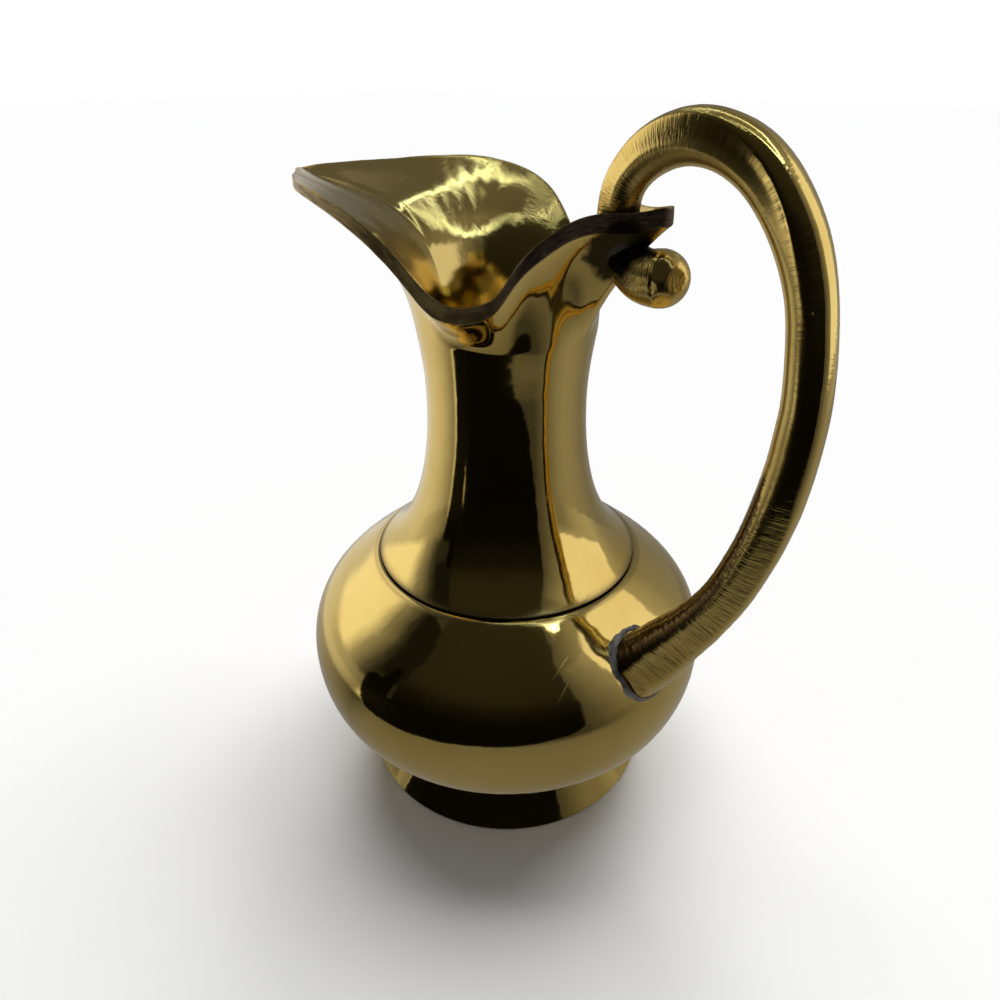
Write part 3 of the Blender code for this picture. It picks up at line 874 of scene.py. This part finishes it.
def polished(name):
    """Polished brass: its nodes, colour, roughness and normal."""
    n = material_nodes(name)
    place = n.place()
    joint_dirt_and_shade = n.mark("joint_dirt_and_shade")
    inside = n.mark("inside")
    lines = n.math(
        "MAXIMUM", scratches(n, (0.2, 1.1, 0.4), 0.04), scratches(n, (0.9, 0.5, 1.9), 0.02)
    )
    dots = n.math("MAXIMUM", pits(n, 170.0, 0.13, 0.065), pits(n, 60.0, 0.11, 0.026))
    haze = n.cloud(place, 120.0, 4.0, 0.65)
    brushed = n.grain(place, (260, 1800, 900), 4.0, 0.6, (0.5, 0.6, 0.8))
    colour = brass_colour(n, 38.0)[1]
    # Dirt in the seams, with painted shade under the bowl and at the foot's toe
    colour = n.coated(
        colour, (inside, 0.55, BRASS_INSIDE), (joint_dirt_and_shade, 0.85, DIRT_AND_SHADE), (dots, 0.9, POLISHED_PIT)
    )
    rough = n.math("MULTIPLY_ADD", haze, 0.05, 0.045)
    rough = n.roughened(rough, (lines, 0.18), (inside, 0.015), (joint_dirt_and_shade, 0.3), (dots, 0.4))
    normal = n.bumps(
        (n.cloud(place, 150.0, 2.0), 0.00006),
        (haze, 0.000015),
        (n.times(brushed, inside), 0.00003),
        (n.times(lines, -1.0), 0.00001),
        (n.times(dots, -1.0), 0.00025),
    )
    return n, colour, rough, normal


def polished_brass(name):
    n, colour, rough, normal = polished(name)
    return n.finish(colour, rough, normal)


def neck_brass(name):
    """Polished brass with a filed rim that is tarnished towards the handle."""
    n, colour, rough, normal = polished(name)
    edge = n.mark("edge")
    run = n.vector(n.mark("run"), n.mark("across"))
    files = n.grain(run, (0.35, 9.0, 1.0), 4.0, 0.7)
    blotch = n.grain(run, (0.16, 0.5, 1.0), 3.0, 0.6)
    soot_shade = ragged_soot_and_shade(n)
    filed = n.mix(n.between(blotch, 0.38, 0.62), RIM_PALE, RIM_DARK)
    filed = n.mix(n.between(files, 0.50, 0.66), filed, RIM_BRIGHT)
    tail = n.mix(n.between(files, 0.46, 0.66), TAIL_DARK, TAIL_PALE)
    colour = n.mix(edge, colour, n.mix(n.mark("tail"), filed, tail))
    # Painted shade and soot under the rear lip
    colour = n.coated(colour, (soot_shade, 0.93, SOOT_AND_SHADE))
    rough = n.blend(edge, rough, n.math("MULTIPLY_ADD", files, 0.3, 0.20))
    rough = n.roughened(rough, (soot_shade, 0.22))
    normal = n.bumps((n.times(files, edge), 0.00012), normal=normal)
    return n.finish(colour, rough, normal)


def handle_brass(name):
    """Cast brass, hand filed: fine cross lines, dark pits, brownish stains, and painted shade down the
    inner side and under the rear lip.
    """
    n = material_nodes(name)
    turn = n.mark("turn")
    run = n.vector(n.mark("run"), n.math("COSINE", turn), n.math("SINE", turn))
    cross = n.grain(run, (2.6, 1.1, 1.1), 2.0, 0.6)
    comb = n.grain(run, (2.2, 0.7, 0.7), 2.0, 0.6)
    stain = n.between(n.cloud(n.place(), 140.0, 4.0, 0.7), 0.60, 0.74)
    dots = n.math("MAXIMUM", pits(n, 260.0, 0.10, 0.10), pits(n, 110.0, 0.07, 0.06))
    # Painted shade down the inner side, with comb-like edges
    inner_shade = n.between(n.math("MULTIPLY_ADD", comb, 0.8, n.mark("inner_shade")), 0.74, 0.96)
    soot_shade = ragged_soot_and_shade(n)
    low = n.mark("low")
    rear = n.mark("rear")
    mottle, colour = brass_colour(n, 60.0)
    colour = n.coated(
        colour,
        (stain, 0.45, STAIN),
        (dots, 0.85, CAST_PIT),
        (n.mark("root"), 0.35, ROOT_STAIN),
        (inner_shade, 0.9, SHADE_BAND_DARK),
        (soot_shade, 1.0, SOOT_AND_SHADE),
    )
    rough = n.math("MULTIPLY_ADD", mottle, 0.10, 0.06)
    rough = n.roughened(
        rough, (low, 0.12), (rear, 0.12), (n.mark("satin"), 0.17), (stain, 0.15), (soot_shade, 0.2),
        (dots, 0.3),
    )
    worked = n.math("MULTIPLY_ADD", rear, 0.75, n.math("MULTIPLY_ADD", low, 0.9, 0.25))
    normal = n.bumps((n.times(cross, worked), 0.00011), (n.times(dots, -1.0), 0.0002))
    return n.finish(colour, rough, normal)


def solder(name, dark, pale, metallic, specular):
    """Soft solder: dull and lumpy, with darker burns."""
    n = material_nodes(name)
    place = n.place()
    soft = n.cloud(place, 300.0, 4.0, 0.65)
    burns = n.between(n.cloud(place, 170.0, 3.0, 0.6), 0.42, 0.66)
    dark_solder = (0.35 * dark[0], 0.30 * dark[1], 0.28 * dark[2])
    colour = n.mix(burns, n.mix(soft, dark, pale), dark_solder)
    rough = n.math("MULTIPLY_ADD", soft, 0.25, 0.36)
    normal = n.bumps((n.cloud(place, 700.0, 4.0, 0.7), 0.0002))
    return n.finish(colour, rough, normal, metallic, specular)


# The object
bowl = add_bowl()
neck = add_neck()
foot = add_foot()
handle = add_handle()
root_solder = add_root_solder()
lip_solder = add_lip_solder()

body_brass = polished_brass("polished_brass_body")
dress(bowl, "bowl", body_brass)
dress(foot, "foot_ring", body_brass)
dress(neck, "neck_and_spout", neck_brass("polished_brass_neck"))
dress(handle, "handle", handle_brass("cast_brass_handle"))
grey = solder("soft_solder", (0.20, 0.19, 0.19), (0.44, 0.41, 0.40), 0.85, 0.5)
dress(root_solder, "root_solder", grey)
# The solder under the rear lip is near black and dull: painted shade under the lip
dark_solder = solder("lip_solder_painted_shade", (0.018, 0.013, 0.010), (0.050, 0.038, 0.030), 0.0, 0.12)
dress(lip_solder, "lip_solder", dark_solder)
for node in ("shoulder_solder", "foot_solder"):
    paint(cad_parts[node], grey)


# Camera
VIEW_TURN = math.radians(37)
VIEW_DIP = math.radians(30.727)
VIEW_DISTANCE = 168.102 * MM
VIEW_HEIGHT = 180.112 * MM
FRONT = Vector((math.sin(VIEW_TURN), -math.cos(VIEW_TURN), 0.0))
RIGHT = Vector((math.cos(VIEW_TURN), math.sin(VIEW_TURN), 0.0))

camera_data = bpy.data.cameras.new("camera")
camera_data.lens = 26.64
camera_data.sensor_width = 36.0
camera_data.shift_x = -0.0067
camera_data.clip_start = 0.01
camera_data.clip_end = 50.0
camera = add_object("camera", camera_data)
camera.location = AXIS + FRONT * VIEW_DISTANCE + Vector((0, 0, VIEW_HEIGHT))
camera.rotation_euler = (math.pi / 2 - VIEW_DIP, 0.0, VIEW_TURN)
bpy.context.scene.camera = camera


# Studio: places in metres, turns in degrees from the camera's side round to the right
def at(front, right, height):
    """A place given from the bowl's axis, as the photographer sees it."""
    return AXIS + FRONT * front + RIGHT * right + Vector((0, 0, height))


def away(turn, distance, height):
    """A place at this turn round the bowl's axis and this distance from it."""
    turn = math.radians(turn)
    return at(distance * math.cos(turn), distance * math.sin(turn), height)


def stage_mesh(name, points, faces, material):
    mesh = bpy.data.meshes.new(name)
    mesh.from_pydata(points, [], faces)
    mesh.materials.append(material)
    piece = add_object(name, mesh)
    return piece


def glow(name, tint, strength=None):
    """Even light, or without a strength as strong as the mesh's level at each point."""
    n = material_nodes(name)
    inputs = {"Color": tint, "Strength": strength or n.mark("level")}
    return n.surface(n.add("ShaderNodeEmission", inputs))


def metal_only(piece):
    """The piece shows in the brass, and neither to the eye nor as light."""
    piece.visible_camera = False
    piece.visible_diffuse = False
    piece.visible_shadow = False


def floor_white():
    n = material_nodes("floor_white")
    return n.surface(n.add("ShaderNodeBsdfDiffuse", {"Color": (0.95, 0.95, 0.95)}))


FLOOR_HALF = 4.0
floor_corners = [(x * FLOOR_HALF, y * FLOOR_HALF, 0) for x, y in ((-1, -1), (1, -1), (1, 1), (-1, 1))]
floor = stage_mesh("floor", floor_corners, [(0, 1, 2, 3)], floor_white())
floor.location.z = -0.02 * MM

PALE = (1.0, 1.0, 0.97)
AMBER = (1.0, 0.95, 0.72)
BLACK = 0.003


def round_card(name, turns, row, tint=PALE):
    """A card round the table. row(turn) gives its points: distance, height and brightness."""
    rows = [row(turn) for turn in turns]
    points = [away(turn, d, z) for turn, line in zip(turns, rows) for d, z, _ in line]
    deep = len(rows[0])
    faces = []
    for i in range(len(rows) - 1):
        for a in range(i * deep, (i + 1) * deep - 1):
            faces.append((a, a + 1, a + deep + 1, a + deep))
    card = stage_mesh(name, points, faces, glow(name, tint))
    mark = card.data.attributes.new("level", "FLOAT", "POINT")
    levels = [level for line in rows for _, _, level in line]
    mark.data.foreach_set("value", np.array(levels, np.float32))
    metal_only(card)


def steps(*pairs):
    """A straight-line curve through (place, value) pairs."""
    places, values = zip(*pairs)
    return lambda x: float(np.interp(x, places, values))


# The dark side of the studio, from the table's edge up and leaning in overhead
DARK_FIRST = -58
DARK_LAST = 37
dark_from = steps(
    (-73, 215), (-66, 145), (-58, 139), (-44, 138), (-24, 156), (-7, 172), (7, 187),
    (19, 215), (28, 250), (33, 300), (37, 420)
)
DARK_FLOOR = 0.0006
DARK_MIDDLE = 0.30
DARK_FOOT = 0.45
DARK_WALL = [
    (0.45, 0.02, BLACK), (0.45, 0.12, 0.004), (0.45, 0.24, 0.010), (0.44, 0.34, 0.022),
    (0.36, 0.46, 0.026), (0.22, 0.56, 0.030), (0.12, 0.59, 0.060),
]
bright_end = steps((-56.5, 0.85), (-55.5, BLACK))


def dark_row(turn):
    near = dark_from(turn) * MM
    level = bright_end(turn)
    middle = (max(DARK_MIDDLE, near), DARK_FLOOR, level)
    return [(near, DARK_FLOOR, BLACK), middle, (DARK_FOOT, DARK_FLOOR, level)] + DARK_WALL


round_card("dark_side", np.linspace(DARK_FIRST, DARK_LAST, 57), dark_row, AMBER)

# A low dark screen at its left end: only the handle looks over it
SCREEN_DEPTH = 0.012
screen_top = steps((-72, 92), (-61, 92), (-59, 128), (-54.5, 128), (-54, 58), (-42, 56))


def screen_row(turn):
    near = dark_from(turn) * MM
    far = near + SCREEN_DEPTH
    return [(near, DARK_FLOOR, BLACK), (far, DARK_FLOOR, BLACK), (far, screen_top(turn) * MM, BLACK)]


round_card("low_screen", np.linspace(-72, -42, 61), screen_row, AMBER)

# The table, dimmer in the brass than to the eye
TABLE_HEIGHT = 0.0004
TABLE_REACH = (0.042, 0.075, 0.115, 0.165, 0.215, 0.55)
TABLE_SHARES = (0.0, 0.35, 0.7, 1.0)
UNDER_THE_DARK = 0.01
TABLE_SEAM = 0.02
table_near = steps(
    (-180, 0.26), (-120, 0.29), (-60, 0.25), (20, 0.22), (60, 0.29), (120, 0.30), (180, 0.26)
)
table_middle = steps(
    (-180, 0.45), (-135, 0.50), (-122, 0.46), (-105, 0.36), (-80, 0.13), (-73, 0.05), (-60, 0.16),
    (20, 0.17), (45, 0.18), (100, 0.30), (150, 0.25), (180, 0.40),
)
table_far = steps(
    (-180, 0.30), (-165, 0.60), (-150, 0.78), (-111, 0.74), (-97, 0.60), (-86, 0.42), (-77, 0.26),
    (-72, 0.90), (-58, 1.00), (-57, 0.16), (20, 0.05), (37, 0.05), (45, 0.09), (60, 0.18),
    (72, 0.26), (85, 0.30), (102, 0.27), (125, 0.20), (150, 0.25), (180, 0.28),
)


def table_row(turn):
    edge = TABLE_REACH[-1]
    if DARK_FIRST <= turn <= DARK_LAST:
        edge = dark_from(turn) * MM
    near = table_near(turn)
    middle = table_middle(turn)
    levels = [near * (1 - share) + middle * share for share in TABLE_SHARES]
    levels += [table_far(turn)] * 2
    reaches = [min(reach, edge + UNDER_THE_DARK) for reach in TABLE_REACH]
    return [(reach, TABLE_HEIGHT, level) for reach, level in zip(reaches, levels)]


seam_turns = (DARK_FIRST - TABLE_SEAM, DARK_LAST + TABLE_SEAM)
table_turns = np.append(np.linspace(-180, 180, 181), seam_turns)
round_card("table", np.sort(table_turns), table_row)

# Walls round the table: bright on the left and behind it, a window on the right
WALL = 0.50
WALL_FOOT_FROM = -77
wall_foot = steps((WALL_FOOT_FROM, 0.20), (-72, 0.90), (-58, 1.00))
wall_low = steps(
    (-180, 0.18), (-171, 0.20), (-163, 0.60), (-150, 0.75), (-115, 0.73), (-105, 0.58), (-92, 0.42),
    (-84, 0.30), (-77, 0.20), (-74, 0.03), (-58, 0.03),
)
BRIGHT_WALL = (
    (-180, 0.18), (-171, 0.20), (-163, 0.62), (-150, 0.95), (-125, 1.15), (-100, 1.10), (-91, 0.38),
    (-80, 0.08),
)
wall_high = steps(*BRIGHT_WALL, (-76, 0.03), (-58, 0.02))
wall_upper = steps(*BRIGHT_WALL, (-73, 0.01), (-58, 0.01))
wall_top = steps(
    (-180, 0.15), (-150, 0.25), (-135, 0.90), (-122, 1.15), (-99, 1.05), (-90, 0.28), (-78, 0.04),
    (-73, 0.01), (-58, 0.01),
)


def left_row(turn):
    low = wall_low(turn)
    foot = wall_foot(turn) if turn > WALL_FOOT_FROM else low
    high = wall_high(turn)
    top = wall_top(turn)
    return [
        (WALL, 0.001, foot), (WALL, 0.075, low), (WALL, 0.12, high), (WALL, 0.20, high),
        (WALL, 0.25, wall_upper(turn)), (WALL, 0.38, top), (0.42, 0.56, top),
    ]


round_card("walls_on_the_left", np.linspace(-180, DARK_FIRST, 123), left_row)

WINDOW_FROM = 61.5
WINDOW_TO = 106.5
WINDOW_SILL = 0.095
RIGHT_TOP = 0.60
right_wall = steps(
    (37, 0.09), (45, 0.20), (52, 0.27), (61, 0.40), (106, 0.45), (107, 0.50), (122, 0.30), (135, 0.24),
    (150, 0.216), (151, 0.16), (180, 0.16),
)
right_wall_low = steps(
    (37, 0.06), (45, 0.10), (58, 0.20), (70, 0.22), (80, 0.32), (95, 0.42), (105, 0.45), (120, 0.28),
    (135, 0.24), (160, 0.20), (180, 0.18),
)


def right_row(turn):
    low = right_wall_low(turn)
    top = WINDOW_SILL if WINDOW_FROM < turn < WINDOW_TO else RIGHT_TOP
    return [(WALL, 0.001, low), (WALL, 0.06, low), (WALL, top, right_wall(turn))]


round_card("walls_on_the_right", np.linspace(DARK_LAST, 180, 144), right_row)

# A dim ceiling
CEILING = 0.62
ZENITH = 0.14
ceiling_rim = steps(
    (-180, 0.15), (-95, 0.15), (-75, 0.05), (30, 0.04), (45, 0.14), (60, 0.30), (90, 0.25),
    (120, 0.16), (180, 0.15),
)


def ceiling_row(turn):
    rim = ceiling_rim(turn)
    inner = 0.7 * ZENITH + 0.3 * rim
    return [(0.0, CEILING, ZENITH), (0.10, CEILING, inner), (0.22, CEILING, rim), (0.52, CEILING, rim)]


round_card("ceiling", np.linspace(-180, 180, 91), ceiling_row)

# A closed loop of small lamps under it: each corner's place to the front and to the right of
# the bowl's axis, and the width of the lamps there, in mm
LOOP_HEIGHT = 0.46
LOOP_LINE = [
    (-232, 6, 11), (-184, -4, 11), (-121, -14, 10), (-70, -61, 6), (-27, -86, 4), (18, -54, 3),
    (64, -16, 3), (114, 12, 4), (100, 4, 3), (66, -24, 3), (43, -18, 3), (52, 33, 5), (123, 89, 13),
    (188, 172, 24), (196, 208, 26), (98, 202, 22), (-8, 157, 16), (-85, 93, 11), (-160, 50, 10),
]
LAMPS = 130
LAMP_TINT = (0.80, 0.97, 1.0)
LAMP_STRENGTH = 9.0


def add_lamp_loop():
    """Each lamp is a small flat card that fills the first half of its share of the loop."""
    corners = np.array(LOOP_LINE + LOOP_LINE[:1]) * MM
    run = lengths(corners[:, :2])
    points = []
    faces = []
    for k in range(LAMPS):
        places = run[-1] * np.array([k, k + 0.5]) / LAMPS
        ends = np.stack([np.interp(places, run, corners[:, i]) for i in range(3)], axis=1)
        way = ends[1] - ends[0]
        side = np.array([-way[1], way[0]]) / np.hypot(way[0], way[1]) / 2
        for end in ends:
            for sign in (-1, 1):
                front, right = end[:2] + side * end[2] * sign
                points.append(at(front, right, LOOP_HEIGHT))
        faces.append((4 * k, 4 * k + 1, 4 * k + 3, 4 * k + 2))
    material = glow("lamp_loop", LAMP_TINT, LAMP_STRENGTH)
    metal_only(stage_mesh("lamp_loop", points, faces, material))


add_lamp_loop()


def add_sun(name, energy, angle, turn, lift):
    """A sun this wide, at this turn and this high up, all in degrees."""
    data = bpy.data.lights.new(name, "SUN")
    data.energy = energy
    data.angle = math.radians(angle)
    lamp = add_object(name, data)
    lift = math.radians(lift)
    way = AXIS - away(turn, math.cos(lift), math.sin(lift))
    lamp.rotation_euler = way.to_track_quat("-Z", "Y").to_euler()
    lamp.visible_glossy = False


# Soft light from behind, from both sides of it and from above
add_sun("key", 1.36, 34, 132, 59)
add_sun("fill", 1.20, 36, -160, 64)
add_sun("back", 1.675, 28, 172, 15)

# The room: white to the eye and in the metal, softer as a lamp
ROOM_LIGHT = 0.182
n = Nodes(bpy.data.worlds.new("studio"))
rays = n.add("ShaderNodeLightPath", {}).outputs
seen = rays["Is Camera Ray"]
for ray in ("Is Glossy Ray", "Is Transmission Ray"):
    seen = n.math("MAXIMUM", seen, rays[ray])
inputs = {"Color": (1.0, 1.0, 1.0), "Strength": n.blend(seen, ROOM_LIGHT, 1.0)}
background = n.add("ShaderNodeBackground", inputs)
bpy.context.scene.world = n.surface(background, "ShaderNodeOutputWorld")
bpy.context.scene.view_settings.view_transform = "Standard"
